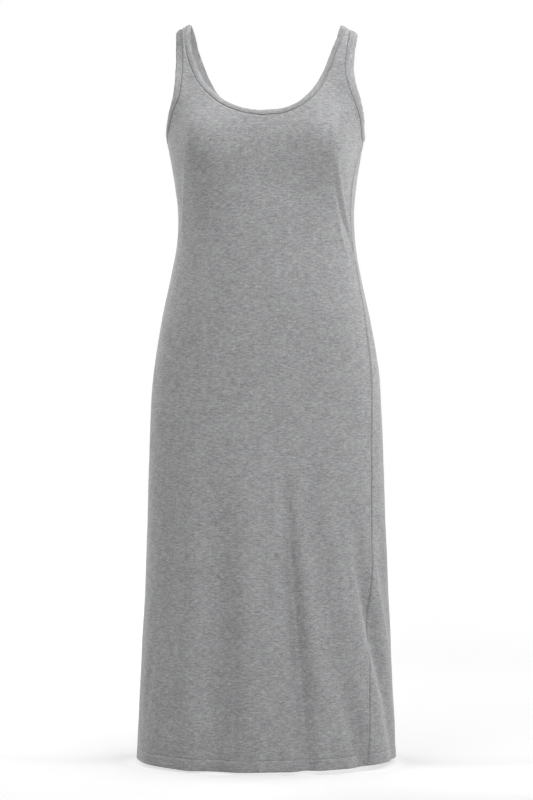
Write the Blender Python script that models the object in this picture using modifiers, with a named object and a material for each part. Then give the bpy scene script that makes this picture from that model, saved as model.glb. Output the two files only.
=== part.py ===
# Tank dress in cotton jersey, as it hangs filled out on a figure that isn't there.
# Metres, +Z up, the front faces -Y. The origin is midway between the undersides of the strap tops.
import bmesh
import bpy
import numpy as np

# Cloth
wall = 0.0015            # one layer of jersey
hem_wall = 0.0027        # the hem is turned up once, so it has two layers
hem_height = 0.0175      # how far the hem is turned up
seam_gap = 0.0003        # clearance between pieces where they are sewn together
seam_turn = 0.08         # the same at a side seam, in degrees round the figure
shoulder_gap = 0.0004    # how far each panel stops short of the shoulder line
gap_levels = (-0.04, 0.0)   # where that grows from nothing

# Figure
roundness = 2.25         # 2 is an ellipse, more is squarer
shoulder_drop = 0.150    # height over which the chest rounds back to the top of the shoulders
shoulder_power = 2.4     # how full that rounding is
fall_levels = (-0.1335, -0.0185)   # where the straps start to follow the shoulder line, and do so fully

# Faces
body_columns = 36        # across the front panel, and as many across the back
body_rows = 22           # from the turned-up hem to the underarms
strap_rows = 12          # from the underarms to the shoulder seams
row_sag = 1.2            # how far the rows dip below a straight line at the underarms
row_closing = 0.4        # how much closer the body rows lie at the chest than at the hem
seam_closing = 1.25      # how columns crowd to the side seams, and strap rows to the shoulders

# Colours of the grey heathered jersey, in linear light
front_colour = (0.36, 0.36, 0.37)
back_colour = (0.35, 0.35, 0.36)
binding_colour = (0.37, 0.37, 0.38)

# Bindings: how wide they are, and how far the free edge rolls in towards the figure, in degrees.
# The neck binding is stretched less at its lowest point than on the straps, so it rolls less there.
neck_width = 0.0100
neck_roll = 14.0
neck_strap_roll = 38.0
armhole_width = 0.0120
armhole_roll = 4.0
strap_levels = (-0.12, -0.06)   # where the chest gives way to the straps


def table(names, *rows):
    """Columns by name, from a line of names and a row for each section."""
    return dict(zip(names.split(), np.array(rows, float).T))


# Level sections through the figure, from the hem to the shoulders.
rings = table(
    "level   half_width  front   back    shift",
    (-1.151, 0.2032,     0.1430, 0.136,  0.0000),
    (-0.998, 0.1965,     0.1320, 0.132,  0.0008),
    (-0.858, 0.1900,     0.1235, 0.129,  0.0015),
    (-0.718, 0.1856,     0.1155, 0.130,  0.0005),
    (-0.618, 0.1822,     0.1100, 0.132,  0.0002),
    (-0.538, 0.1765,     0.1065, 0.131,  0.0003),
    (-0.468, 0.1650,     0.1055, 0.122,  0.0003),
    (-0.398, 0.1500,     0.1010, 0.105,  0.0002),
    (-0.343, 0.1402,     0.0975, 0.092,  0.0005),
    (-0.303, 0.1382,     0.0965, 0.087,  0.0003),
    (-0.253, 0.1425,     0.0970, 0.090,  -0.0005),
    (-0.203, 0.1510,     0.0995, 0.098,  -0.0006),
    (-0.173, 0.1568,     0.0965, 0.101,  -0.0003),
    (-0.138, 0.1640,     0.0880, 0.101,  0.0000),
    (-0.078, 0.1700,     0.0790, 0.098,  0.0000),
    (0.0015, 0.1720,     0.0700, 0.092,  0.0000),
)

# The top of the shoulder line: how far it falls at each distance from the middle.
# The left strap sits a little higher than the right.
shoulder = table(
    "reach   right    left",
    (0.1000, 0.0030,  -0.0010),
    (0.1160, 0.0020,  -0.0020),
    (0.1225, 0.0029,  -0.0011),
    (0.1300, 0.0074,  0.0034),
    (0.1330, 0.0088,  0.0048),
    (0.1430, 0.0120,  0.0080),
    (0.1600, 0.0185,  0.0145),
    (0.1750, 0.0250,  0.0210),
)

# Bust of a general figure: how far the front stands out and where, its half widths towards the
# middle and towards the side, and its half height.
bust = dict(rise=0.021, reach=0.100, level=-0.183, inner=0.050, outer=0.028, height=0.056)

# A fold's width where it fades in, as a share of its full width, and how high the cloth stands
# at both sides of it, as a share of its depth.
fold_start_width = 0.45
fold_shoulders = 0.5

# Vertical folds: where round the dress each starts and ends (0 right side, 90 front, 180 left side,
# 270 back), how its way there bends (1 is straight, more keeps to the start for longer), the levels
# where it fades in and is deepest, its depth and its half width there.
folds = table(
    "start_turn  end_turn  bend  start_level  full_level  depth   half_width",
    (81.2,       71.0,     1.0,  -0.640,      -0.890,     0.0095, 0.0150),
    (106.5,      106.5,    1.0,  -0.620,      -1.000,     0.0085, 0.025),
    (68.6,       39.5,     2.4,  -0.610,      -0.915,     0.0065, 0.0185),
    (45.5,       10.5,     1.45, -0.705,      -0.940,     0.0060, 0.016),
    (143.7,      131.5,    1.0,  -0.497,      -0.940,     0.0043, 0.028),
    (214.0,      208.0,    1.0,  -0.658,      -1.018,     0.0080, 0.022),
    (243.0,      238.0,    1.0,  -0.558,      -0.958,     0.0060, 0.026),
    (268.0,      270.0,    1.0,  -0.718,      -0.998,     0.0100, 0.019),
    (297.0,      304.0,    1.0,  -0.618,      -1.018,     0.0070, 0.024),
    (322.0,      333.0,    1.0,  -0.778,      -1.058,     0.0060, 0.018),
)

# The right side seam swings to the front towards the hem and the left one to the back,
# as the tube of jersey twists.
side_seams = table(
    "level   right  left",
    (-1.151, 38.0,  207.0),
    (-0.998, 35.0,  205.0),
    (-0.858, 30.0,  202.0),
    (-0.618, 24.5,  196.0),
    (-0.498, 19.5,  191.0),
    (-0.398, 14.5,  187.0),
    (-0.298, 14.5,  184.0),
    (-0.228, 14.5,  181.5),
    (-0.1855, 8.0,  180.0),
)

# The hem isn't quite level: it droops at the front towards the left and rides up by the right seam.
hem_line = table(
    "turn    level",
    (-60.0,  -1.1510),
    (-10.0,  -1.1500),
    (22.0,   -1.1480),
    (50.0,   -1.1505),
    (83.0,   -1.1530),
    (105.0,  -1.1550),
    (140.0,  -1.1530),
    (175.0,  -1.1500),
    (300.0,  -1.1510),
    (350.0,  -1.1500),
    (382.0,  -1.1480),
    (410.0,  -1.1505),
)

# Where the bindings are sewn on, each line from its lowest point up to the shoulder.
# Right and left are the viewer's, and the left strap sits turned a little further out.
neck_front_right = table(
    "level    turn",
    (-0.1495, 90.0),
    (-0.1455, 79.5),
    (-0.1340, 70.8),
    (-0.1105, 62.0),
    (-0.0820, 56.4),
    (-0.0545, 52.8),
    (-0.0280, 48.9),
    (-0.0060, 45.2),
    (0.0015, 44.4),
)
neck_front_left = table(
    "level    turn",
    (-0.1495, 90.0),
    (-0.1430, 100.5),
    (-0.1310, 109.7),
    (-0.1135, 117.8),
    (-0.0895, 125.8),
    (-0.0610, 131.0),
    (-0.0310, 134.2),
    (-0.0080, 135.5),
    (0.0015, 135.7),
)
neck_back_right = table(
    "level    turn",
    (-0.1350, 270.0),
    (-0.1290, 285.0),
    (-0.1130, 296.5),
    (-0.0840, 304.5),
    (-0.0570, 309.0),
    (-0.0330, 312.6),
    (-0.0090, 314.8),
    (0.0015, 315.2),
)
neck_back_left = table(
    "level    turn",
    (-0.1350, 270.0),
    (-0.1290, 255.0),
    (-0.1130, 243.5),
    (-0.0840, 235.5),
    (-0.0570, 231.0),
    (-0.0330, 227.4),
    (-0.0090, 225.2),
    (0.0015, 224.4),
)
armhole_front_right = table(
    "level    turn",
    (-0.1855, 8.0),
    (-0.1755, 13.5),
    (-0.1560, 21.3),
    (-0.1355, 29.4),
    (-0.1160, 35.8),
    (-0.0950, 41.1),
    (-0.0755, 43.5),
    (-0.0450, 43.7),
    (-0.0180, 42.2),
    (0.0015, 41.4),
)
armhole_front_left = table(
    "level    turn",
    (-0.1870, 180.0),
    (-0.1840, 173.0),
    (-0.1730, 165.5),
    (-0.1545, 154.8),
    (-0.1340, 146.2),
    (-0.1140, 140.0),
    (-0.0925, 137.4),
    (-0.0720, 136.3),
    (-0.0420, 136.3),
    (-0.0180, 137.3),
    (0.0015, 138.3),
)
armhole_back_right = table(
    "level    turn",
    (-0.1855, 368.0),
    (-0.1840, 359.0),
    (-0.1810, 351.0),
    (-0.1720, 342.5),
    (-0.1530, 333.2),
    (-0.1280, 323.4),
    (-0.1030, 317.7),
    (-0.0780, 314.6),
    (-0.0480, 314.4),
    (-0.0180, 316.8),
    (0.0015, 318.6),
)
armhole_back_left = table(
    "level    turn",
    (-0.1870, 180.0),
    (-0.1850, 187.0),
    (-0.1750, 196.0),
    (-0.1530, 207.0),
    (-0.1280, 216.6),
    (-0.1030, 222.3),
    (-0.0780, 225.4),
    (-0.0480, 225.6),
    (-0.0180, 223.2),
    (0.0015, 221.7),
)

# Cross-section of a binding: distance from its seam as a share of the width, and height from its
# inner face to its outer.
binding_section = table(
    "share  up",
    (0.00,  0.0000),
    (0.00,  0.0021),
    (0.14,  0.0030),
    (0.84,  0.0030),
    (1.00,  0.0014),
    (0.87,  0.0000),
)


def smooth(stations, values, at):
    """A cubic curve through the values at rising stations, read at the places asked for."""
    slopes = np.gradient(values, stations)
    below = np.clip(np.searchsorted(stations, at) - 1, 0, len(stations) - 2)
    span = stations[below + 1] - stations[below]
    t = np.clip((at - stations[below]) / span, 0.0, 1.0)
    return (
        values[below] * (1 + 2 * t) * (1 - t) ** 2
        + values[below + 1] * t * t * (3 - 2 * t)
        + span * (slopes[below] * t * (1 - t) ** 2 - slopes[below + 1] * t * t * (1 - t))
    )


def ramp(value, start, end):
    """0 before start, 1 after end, and a soft step between."""
    t = np.clip((value - start) / (end - start), 0.0, 1.0)
    return t * t * (3 - 2 * t)


def fold_relief(angle, level, radius):
    """How far the cloth lies outside (+) or inside (-) the plain figure at each fold."""
    relief = np.zeros_like(level)
    for start_turn, end_turn, bend, start_level, full_level, depth, half_width in zip(*folds.values()):
        down = np.clip((start_level - level) / (start_level - rings["level"][0]), 0.0, 1.0)
        turn = start_turn + (end_turn - start_turn) * down**bend
        grown = ramp(level, start_level, full_level)
        across = np.radians((angle - turn + 180.0) % 360.0 - 180.0) * radius
        narrow = half_width * (fold_start_width + (1 - fold_start_width) * grown)
        q = (across / narrow) ** 2
        relief += depth * grown * (fold_shoulders * np.exp(-q / 4.0) - np.exp(-q))
    return relief


def cloth_point(angle, level):
    """Where the outside of the cloth is, at a turn round the figure and a level."""
    angle, level = np.broadcast_arrays(np.asarray(angle, float), np.asarray(level, float))
    c = np.cos(np.radians(angle))
    s = np.sin(np.radians(angle))
    half_width = smooth(rings["level"], rings["half_width"], level)
    front = smooth(rings["level"], rings["front"], level)
    back = smooth(rings["level"], rings["back"], level)
    depth = np.where(s >= 0, front, back)
    x = half_width * np.sign(c) * np.abs(c) ** (2 / roundness)
    y = -depth * np.sign(s) * np.abs(s) ** (2 / roundness)

    beside = np.abs(x) - bust["reach"]
    spread = (beside / np.where(beside > 0, bust["outer"], bust["inner"])) ** 2
    spread = spread + ((level - bust["level"]) / bust["height"]) ** 2
    y = y - bust["rise"] * np.exp(-spread) * ramp(s, 0.0, 0.5)

    top = rings["level"][-1]
    risen = np.clip((level - top + shoulder_drop) / shoulder_drop, 0.0, 1.0)
    y = y * (1 - risen**shoulder_power) ** (1 / shoulder_power)

    radius = np.hypot(half_width * s, depth * c)
    outward = np.stack([c / half_width, -s / depth])
    outward /= np.hypot(*outward)
    relief = fold_relief(angle, level, radius)
    x = x + outward[0] * relief + smooth(rings["level"], rings["shift"], level)
    y = y + outward[1] * relief
    fall_right = smooth(shoulder["reach"], shoulder["right"], np.abs(x))
    fall_left = smooth(shoulder["reach"], shoulder["left"], np.abs(x))
    fall = np.where(x > 0, fall_right, fall_left)
    z = level - fall * ramp(level, *fall_levels)
    return np.stack([x, y, z], axis=-1)


def line_along(seam, count):
    """(turn, level) at steps up a seam line, from its lowest point to the shoulder, closing up there."""
    stations = cloth_point(seam["turn"], seam["level"])
    steps = np.linalg.norm(np.diff(stations, axis=0), axis=1)
    travelled = np.concatenate([[0.0], np.cumsum(steps)])
    places = travelled[-1] * (1 - np.linspace(1.0, 0.0, count) ** seam_closing)
    return smooth(travelled, seam["turn"], places), smooth(travelled, seam["level"], places)


def strap_rows_between(armhole, neck, columns):
    """(turn, level) of the rows from an armhole seam to a neck seam, the lowest row first."""
    armhole_turn, armhole_level = line_along(armhole, strap_rows + 1)
    neck_turn, neck_level = line_along(neck, strap_rows + 1)
    across = np.linspace(0.0, 1.0, columns + 1)
    sag = 1.0 + row_sag * np.linspace(1.0, 0.0, strap_rows + 1)[:, None] ** 3
    turn = armhole_turn[:, None] + (neck_turn - armhole_turn)[:, None] * across
    level = armhole_level[:, None] + (neck_level - armhole_level)[:, None] * across**sag
    return turn, level


def body_half(seam_side, middle, armhole, neck, columns):
    """(turn, level) of the rows from the hem to the chest, between a side seam and the middle."""
    up = np.linspace(0.0, 1.0, body_rows)
    up = (1 - row_closing) * up + row_closing * (1 - (1 - up) ** 2)
    across = np.linspace(0.0, 1.0, columns + 1) ** seam_closing
    seam = side_seams[seam_side]
    if middle > 180.0 and seam_side == "right":
        seam = seam + 360.0
    low = smooth(hem_line["turn"], hem_line["level"], seam[0] + (middle - seam[0]) * across)
    top = armhole["level"][0] + (neck["level"][0] - armhole["level"][0]) * across ** (1 + row_sag)
    level = low + hem_height + (top - low - hem_height) * up[:, None]
    level = np.concatenate([low[None], level])
    edge = smooth(side_seams["level"], seam, level)
    edge[-1] = armhole["turn"][0]
    edge = edge + np.sign(middle - edge) * seam_turn
    turn = edge + (middle - edge) * across
    return turn, level


def grid_faces(index):
    """Quads between the neighbours of a grid of vertex numbers, facing out of the dress."""
    corners = (index[:-1, :-1], index[1:, :-1], index[1:, 1:], index[:-1, 1:])
    return np.stack(corners, axis=-1).reshape(-1, 4).tolist()


def panel_mesh(name, first, last, middle, forward):
    """A front or back panel: first and last hold the side, armhole and neck lines of its two edges."""
    half = body_columns // 2
    start_turn, start_level = body_half(first[0], middle, first[1], first[2], half)
    end_turn, end_level = body_half(last[0], middle, last[1], last[2], half)
    turn = np.concatenate([start_turn, end_turn[:, -2::-1]], axis=1)
    level = np.concatenate([start_level, end_level[:, -2::-1]], axis=1)
    points = [cloth_point(turn, level).reshape(-1, 3)]
    body_index = np.arange(turn.size).reshape(turn.shape)
    faces = grid_faces(body_index)
    used = turn.size
    top = body_index[-1]
    for lines, fine, order in ((first, top[: half + 1], 1), (last, top[half:][::-1], -1)):
        strap_turn, strap_level = strap_rows_between(lines[1], lines[2], half // 2)
        points.append(cloth_point(strap_turn[1:], strap_level[1:]).reshape(-1, 3))
        index = used + np.arange(strap_turn[1:].size).reshape(strap_rows, -1)
        used += index.size
        for i in range(half // 2):
            low = fine[2 * i : 2 * i + 3]
            face = [low[0], index[0, i], index[0, i + 1], low[2], low[1]]
            faces.append([int(v) for v in face[::order]])
        faces += grid_faces(index[:, ::order])
    points = np.concatenate(points)
    near_shoulder = ramp(points[:, 2], *gap_levels)
    points[:, 1] += forward * (0.5 * seam_gap + shoulder_gap * near_shoulder)
    mesh = bpy.data.meshes.new(name)
    mesh.from_pydata(points.tolist(), [], faces)
    mesh.update()
    return mesh, body_index[:2].ravel().tolist()


def unit(vectors):
    return vectors / np.linalg.norm(vectors, axis=-1, keepdims=True)


def outward(turn, level, points):
    """The way straight out of the cloth at points on it."""
    sideways = cloth_point(turn + 0.2, level) - cloth_point(turn - 0.2, level)
    downwards = cloth_point(turn, level - 0.0005) - points
    up = unit(np.cross(sideways, downwards))
    core = points * (0.6, 0.0, 1.0) - (0.0, 0.0, 0.08)
    return up * np.sign(np.sum(up * (points - core), axis=-1, keepdims=True))


def binding_mesh(name, branches, width, roll, strap_roll):
    """A folded strip carried round a closed line of seam branches, its free edge rolled in."""
    stations = []
    for seam, upwards in branches:
        order = slice(0, -1) if upwards else slice(-1, 0, -1)
        turn, level = line_along(seam, strap_rows + 1)
        points = cloth_point(turn, level)
        stations.append((points[order], outward(turn, level, points)[order]))
    seam_points, up = (np.concatenate(part) for part in zip(*stations))
    along = unit(np.roll(seam_points, -1, axis=0) - np.roll(seam_points, 1, axis=0))
    out = unit(np.cross(along, up))
    out *= np.sign(np.sum(out * (seam_points.mean(axis=0) - seam_points)))
    up = unit(up - along * np.sum(up * along, axis=-1, keepdims=True))

    on_strap = ramp(seam_points[:, 2:], *strap_levels)
    lean = np.radians(roll + (strap_roll - roll) * on_strap)
    strip_out = out * np.cos(lean) - up * np.sin(lean)
    strip_up = up * np.cos(lean) + out * np.sin(lean)
    foot = seam_points + out * seam_gap - up * (wall + 0.0004)
    section = [
        foot + strip_out * share * width + strip_up * height
        for share, height in zip(binding_section["share"], binding_section["up"])
    ]
    points = np.stack(section, axis=1)
    count, sides = points.shape[:2]
    index = np.arange(count * sides).reshape(count, sides)
    index = np.concatenate([index, index[:1]])
    index = np.concatenate([index, index[:, :1]], axis=1)
    mesh = bpy.data.meshes.new(name)
    mesh.from_pydata(points.reshape(-1, 3).tolist(), [], grid_faces(index))
    mesh.update()
    return mesh


def face_outwards(mesh):
    """Turns a closed mesh's faces out, whichever way its ring was carried round."""
    work = bmesh.new()
    work.from_mesh(mesh)
    bmesh.ops.recalc_face_normals(work, faces=work.faces)
    work.to_mesh(mesh)
    work.free()


def jersey(name, colour):
    material = bpy.data.materials.new(name)
    material.use_nodes = True
    shader = material.node_tree.nodes["Principled BSDF"]
    shader.inputs["Base Color"].default_value = (*colour, 1.0)
    shader.inputs["Roughness"].default_value = 0.9
    shader.inputs["Metallic"].default_value = 0.0
    return material


def add_object(mesh, colour, collection):
    mesh.materials.append(jersey(mesh.name + "_jersey", colour))
    mesh.shade_smooth()
    piece = bpy.data.objects.new(mesh.name, mesh)
    collection.objects.link(piece)
    return piece


def add_panel(name, first, last, middle, forward, colour, collection):
    mesh, hem_vertices = panel_mesh(name, first, last, middle, forward)
    panel = add_object(mesh, colour, collection)
    hem = panel.vertex_groups.new(name="hem")
    hem.add(hem_vertices, 1.0, "REPLACE")
    thicken = panel.modifiers.new("cloth", "SOLIDIFY")
    thicken.thickness = hem_wall
    thicken.thickness_vertex_group = wall / hem_wall
    thicken.vertex_group = "hem"
    thicken.offset = -1.0
    thicken.use_even_offset = True
    thicken.use_quality_normals = True
    return panel


def add_binding(name, branches, width, rolls, collection):
    mesh = binding_mesh(name, branches, width, *rolls)
    face_outwards(mesh)
    return add_object(mesh, binding_colour, collection)


def build():
    for leftover in list(bpy.data.objects):
        bpy.data.objects.remove(leftover, do_unlink=True)
    collection = bpy.data.collections.new("tank_dress")
    bpy.context.scene.collection.children.link(collection)

    front_right = ("right", armhole_front_right, neck_front_right)
    front_left = ("left", armhole_front_left, neck_front_left)
    back_right = ("right", armhole_back_right, neck_back_right)
    back_left = ("left", armhole_back_left, neck_back_left)
    add_panel("front_panel", front_right, front_left, 90.0, -1, front_colour, collection)
    add_panel("back_panel", back_left, back_right, 270.0, 1, back_colour, collection)

    neck = (
        (neck_front_right, True),
        (neck_back_right, False),
        (neck_back_left, True),
        (neck_front_left, False),
    )
    add_binding("neck_binding", neck, neck_width, (neck_roll, neck_strap_roll), collection)
    for side, front, back in (
        ("right", front_right, back_right),
        ("left", front_left, back_left),
    ):
        armhole = ((front[1], True), (back[1], False))
        rolls = (armhole_roll, armhole_roll)
        add_binding("armhole_binding_" + side, armhole, armhole_width, rolls, collection)


build()
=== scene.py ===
import bpy
import numpy as np
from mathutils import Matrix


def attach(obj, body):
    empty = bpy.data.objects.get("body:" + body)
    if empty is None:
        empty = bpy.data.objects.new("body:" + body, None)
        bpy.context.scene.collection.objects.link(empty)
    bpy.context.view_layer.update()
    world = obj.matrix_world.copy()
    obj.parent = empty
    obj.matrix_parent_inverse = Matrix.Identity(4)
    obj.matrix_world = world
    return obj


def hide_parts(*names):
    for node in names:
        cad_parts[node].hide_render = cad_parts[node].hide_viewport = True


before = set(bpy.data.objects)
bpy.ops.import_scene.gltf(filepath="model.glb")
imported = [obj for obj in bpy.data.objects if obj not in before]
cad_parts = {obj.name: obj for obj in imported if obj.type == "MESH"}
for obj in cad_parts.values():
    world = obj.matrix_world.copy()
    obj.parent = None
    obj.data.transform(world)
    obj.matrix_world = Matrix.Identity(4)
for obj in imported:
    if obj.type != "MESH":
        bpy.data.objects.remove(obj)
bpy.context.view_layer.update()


# Rows of numbers as named columns.
def table(names, *rows):
    return dict(zip(names.split(), np.array(rows, float).T))


# The figure the cloth is cut for, as level sections from the hem to the shoulders.
roundness = 2.25  # 2 is an ellipse, more is squarer
shoulderDrop = 0.150  # height over which the chest rounds back to the shoulders
shoulderPower = (1.95, 2.4)  # how full that rounding is in front and at the back
fallLevels = (-0.1335, -0.0185)  # where the straps start to follow the shoulder line, and do so
rings = table(
    "level   halfWidth  front   back    shift",
    (-1.151, 0.2032,    0.1450, 0.136,  0.0000),
    (-0.998, 0.1965,    0.1302, 0.132,  0.0008),
    (-0.858, 0.1900,    0.1202, 0.129,  0.0015),
    (-0.718, 0.1856,    0.1122, 0.130,  0.0005),
    (-0.618, 0.1822,    0.1078, 0.132,  0.0002),
    (-0.538, 0.1765,    0.1062, 0.131,  0.0003),
    (-0.468, 0.1650,    0.1074, 0.122,  0.0003),
    (-0.398, 0.1500,    0.1050, 0.105,  0.0002),
    (-0.343, 0.1402,    0.1025, 0.092,  0.0005),
    (-0.303, 0.1382,    0.1012, 0.087,  0.0003),
    (-0.253, 0.1425,    0.0993, 0.090,  -0.0005),
    (-0.203, 0.1510,    0.1004, 0.098,  -0.0006),
    (-0.173, 0.1568,    0.0967, 0.101,  -0.0003),
    (-0.138, 0.1640,    0.0875, 0.101,  0.0000),
    (-0.078, 0.1700,    0.0790, 0.098,  0.0000),
    (0.0015, 0.1720,    0.0700, 0.092,  0.0000),
)
# The top of the shoulder line: how far it falls at each distance from the middle.
shoulder = table(
    "reach   right    left",
    (0.1000, 0.0030,  -0.0010),
    (0.1160, 0.0012,  -0.0028),
    (0.1225, 0.0026,  -0.0014),
    (0.1300, 0.0066,  0.0026),
    (0.1330, 0.0084,  0.0044),
    (0.1430, 0.0126,  0.0086),
    (0.1600, 0.0185,  0.0145),
    (0.1750, 0.0250,  0.0210),
)
# The front straps lie flatter than the figure: their outer edges stand forward. They and the cut
# of the bust grow over the sines of the turn under front, so the back has neither.
strapLie = dict(
    reach=0.126,
    inner=0.015,
    outer=0.035,
    turn=(0.38, 0.75),  # at the right and at the left
    levels=(-0.165, -0.085),
    front=(0.0, 0.4),
)
bust = dict(
    rise=0.0238,
    reach=0.107,
    level=-0.185,
    inner=0.0535,
    outer=0.0260,
    height=0.061,
    front=(0.0, 0.5),
)

# The long folds of the skirt: five in front, then five behind.
foldStartWidth = 0.45  # a fold's width where it starts, as a share of its full width
foldShoulders = 0.5  # how far its sides stand out, as a share of its depth
folds = table(
    "startTurn  endTurn  bend  startLevel  fullLevel  depth   halfWidth",
    (82.6,      72.0,    0.9,  -0.636,     -0.915,    0.0155, 0.0150),
    (108.6,     108.4,   1.0,  -0.625,     -1.025,    0.0165, 0.034),
    (69.7,      41.9,    2.15, -0.592,     -0.862,    0.0098, 0.0194),
    (46.8,      8.8,     1.4,  -0.725,     -0.965,    0.0060, 0.019),
    (143.4,     131.3,   1.0,  -0.495,     -0.925,    0.0047, 0.032),
    (214.0,     208.0,   1.0,  -0.658,     -1.018,    0.0080, 0.022),
    (243.0,     238.0,   1.0,  -0.558,     -0.958,    0.0060, 0.026),
    (268.0,     270.0,   1.0,  -0.718,     -0.998,    0.0100, 0.019),
    (297.0,     304.0,   1.0,  -0.618,     -1.018,    0.0070, 0.024),
    (322.0,     333.0,   1.0,  -0.778,     -1.058,    0.0060, 0.018),
)

# Creases (height under 0) and ridges (over 0), each from one place to another, bowed sideways
# between them, with a half width at each end.
creases = table(
    "turn0  level0   turn1  level1   bow      height    width0  width1",
    # skirt front, from the right side to the left
    (26.0,  -0.700,  6.5,   -1.000,  -0.004,  -0.0020,  0.016,  0.014),
    (27.2,  -0.828,  8.0,   -0.998,  -0.006,  0.0013,   0.0045, 0.0055),
    (34.8,  -1.000,  14.7,  -1.095,  -0.002,  0.0012,   0.005,  0.006),
    (47.5,  -0.700,  10.0,  -1.130,  -0.011,  -0.0062,  0.010,  0.018),
    (51.0,  -0.735,  18.0,  -1.080,  -0.009,  -0.0018,  0.006,  0.009),
    (58.4,  -0.680,  42.4,  -1.000,  -0.001,  -0.0010,  0.008,  0.009),
    (83.1,  -0.655,  72.0,  -1.145,  0.000,   -0.0046,  0.005,  0.007),
    (90.5,  -0.620,  88.0,  -1.155,  -0.002,  0.0031,   0.013,  0.018),
    (96.2,  -0.600,  94.4,  -1.150,  0.000,   0.0055,   0.014,  0.016),
    (112.2, -0.600,  112.7, -1.100,  0.000,   -0.0010,  0.012,  0.012),
    (124.3, -0.600,  122.0, -1.150,  0.000,   0.0025,   0.012,  0.013),
    (77.3,  -0.800,  60.8,  -1.150,  0.000,   0.0022,   0.010,  0.012),
    (83.4,  -0.950,  79.4,  -1.150,  0.000,   -0.0016,  0.010,  0.012),
    (145.9, -0.930,  155.9, -1.125,  0.003,   -0.0014,  0.0045, 0.006),
    (150.1, -0.960,  155.4, -1.085,  0.000,   -0.0016,  0.004,  0.005),
    (123.5, -1.112,  106.0, -1.086,  0.002,   -0.0004,  0.004,  0.005),
    # bodice front
    (46.5,  -0.211,  5.0,   -0.385,  -0.006,  -0.0034,  0.0052, 0.006),
    (42.0,  -0.211,  8.0,   -0.372,  -0.005,  0.0034,   0.0048, 0.0055),
    (41.5,  -0.255,  20.0,  -0.400,  -0.004,  0.0024,   0.0045, 0.0055),
    (139.0, -0.206,  161.0, -0.340,  -0.002,  0.0018,   0.0045, 0.005),
    (144.0, -0.222,  165.0, -0.345,  -0.002,  -0.0008,  0.004,  0.005),
    (131.1, -0.190,  127.4, -0.262,  0.000,   -0.0021,  0.016,  0.016),
    (53.0,  -0.185,  53.0,  -0.250,  0.000,   -0.0021,  0.016,  0.016),
    (68.0,  -0.190,  62.0,  -0.236,  0.000,   -0.0003,  0.016,  0.016),
    (111.5, -0.350,  61.0,  -0.470,  0.010,   0.0012,   0.022,  0.026),
    (126.4, -0.440,  101.3, -0.520,  0.006,   -0.0016,  0.022,  0.022),
    (68.0,  -0.280,  80.3,  -0.340,  0.000,   -0.0006,  0.030,  0.030),
    # sides and back
    (200.0, -0.205,  224.0, -0.262,  0.004,   0.0010,   0.005,  0.006),
    (196.0, -0.232,  214.0, -0.296,  0.004,   -0.0010,  0.004,  0.006),
    (343.0, -0.205,  318.0, -0.262,  0.004,   0.0010,   0.005,  0.006),
    (346.0, -0.232,  327.0, -0.296,  0.004,   -0.0010,  0.004,  0.006),
    (232.0, -0.300,  308.0, -0.310,  0.006,   -0.0016,  0.011,  0.011),
    (226.0, -0.326,  300.0, -0.335,  0.005,   0.0014,   0.010,  0.010),
    (240.0, -0.352,  314.0, -0.346,  0.004,   -0.0014,  0.010,  0.012),
    (262.0, -0.740,  266.0, -1.120,  0.004,   -0.0012,  0.005,  0.008),
    (282.0, -0.820,  288.0, -1.150,  0.003,   0.0012,   0.010,  0.013),
    (228.0, -0.780,  222.0, -1.145,  0.003,   0.0012,   0.010,  0.014),
    (312.0, -0.850,  320.0, -1.150,  0.002,   0.0010,   0.009,  0.012),
    (188.0, -0.700,  184.0, -1.020,  0.003,   -0.0010,  0.007,  0.010),
    (328.0, -0.560,  334.0, -0.860,  0.003,   -0.0009,  0.009,  0.012),
    (252.0, -0.118,  288.0, -0.118,  -0.010,  -0.0005,  0.008,  0.008),
)

# Where the pieces meet.
sideSeams = table(
    "level   right  left",
    (-1.151, 38.0,  207.0),
    (-0.998, 35.0,  205.0),
    (-0.858, 30.0,  202.0),
    (-0.618, 24.5,  196.0),
    (-0.498, 19.5,  191.0),
    (-0.398, 14.5,  187.0),
    (-0.298, 14.5,  184.0),
    (-0.228, 14.5,  181.5),
    (-0.1855, 8.0,  180.0),
)
hemLine = table(
    "turn    level",
    (-60.0,  -1.1510),
    (-10.0,  -1.1500),
    (22.0,   -1.1480),
    (50.0,   -1.1505),
    (83.0,   -1.1530),
    (105.0,  -1.1550),
    (140.0,  -1.1530),
    (175.0,  -1.1500),
    (300.0,  -1.1510),
    (350.0,  -1.1500),
    (382.0,  -1.1480),
    (410.0,  -1.1505),
)


def seamLine(*pairs):
    return table("level turn", *pairs)


neckFrontRight = seamLine(
    (-0.1495, 90.0), (-0.1455, 79.5), (-0.1340, 70.8), (-0.1105, 62.0), (-0.0820, 56.4),
    (-0.0545, 52.8), (-0.0280, 48.9), (-0.0060, 45.2), (0.0015, 44.4),
)
neckFrontLeft = seamLine(
    (-0.1495, 90.0), (-0.1430, 100.5), (-0.1310, 109.7), (-0.1135, 117.8), (-0.0895, 125.8),
    (-0.0610, 131.0), (-0.0310, 134.2), (-0.0080, 135.5), (0.0015, 135.7),
)
neckBackRight = seamLine(
    (-0.1350, 270.0), (-0.1290, 285.0), (-0.1130, 296.5), (-0.0840, 304.5), (-0.0570, 309.0),
    (-0.0330, 312.6), (-0.0090, 314.8), (0.0015, 315.2),
)
neckBackLeft = seamLine(
    (-0.1350, 270.0), (-0.1290, 255.0), (-0.1130, 243.5), (-0.0840, 235.5), (-0.0570, 231.0),
    (-0.0330, 227.4), (-0.0090, 225.2), (0.0015, 224.4),
)
armholeFrontRight = seamLine(
    (-0.1855, 8.0), (-0.1755, 13.5), (-0.1560, 21.3), (-0.1355, 29.4), (-0.1160, 35.8),
    (-0.0950, 41.1), (-0.0755, 43.5), (-0.0450, 43.7), (-0.0180, 42.2), (0.0015, 41.4),
)
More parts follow.
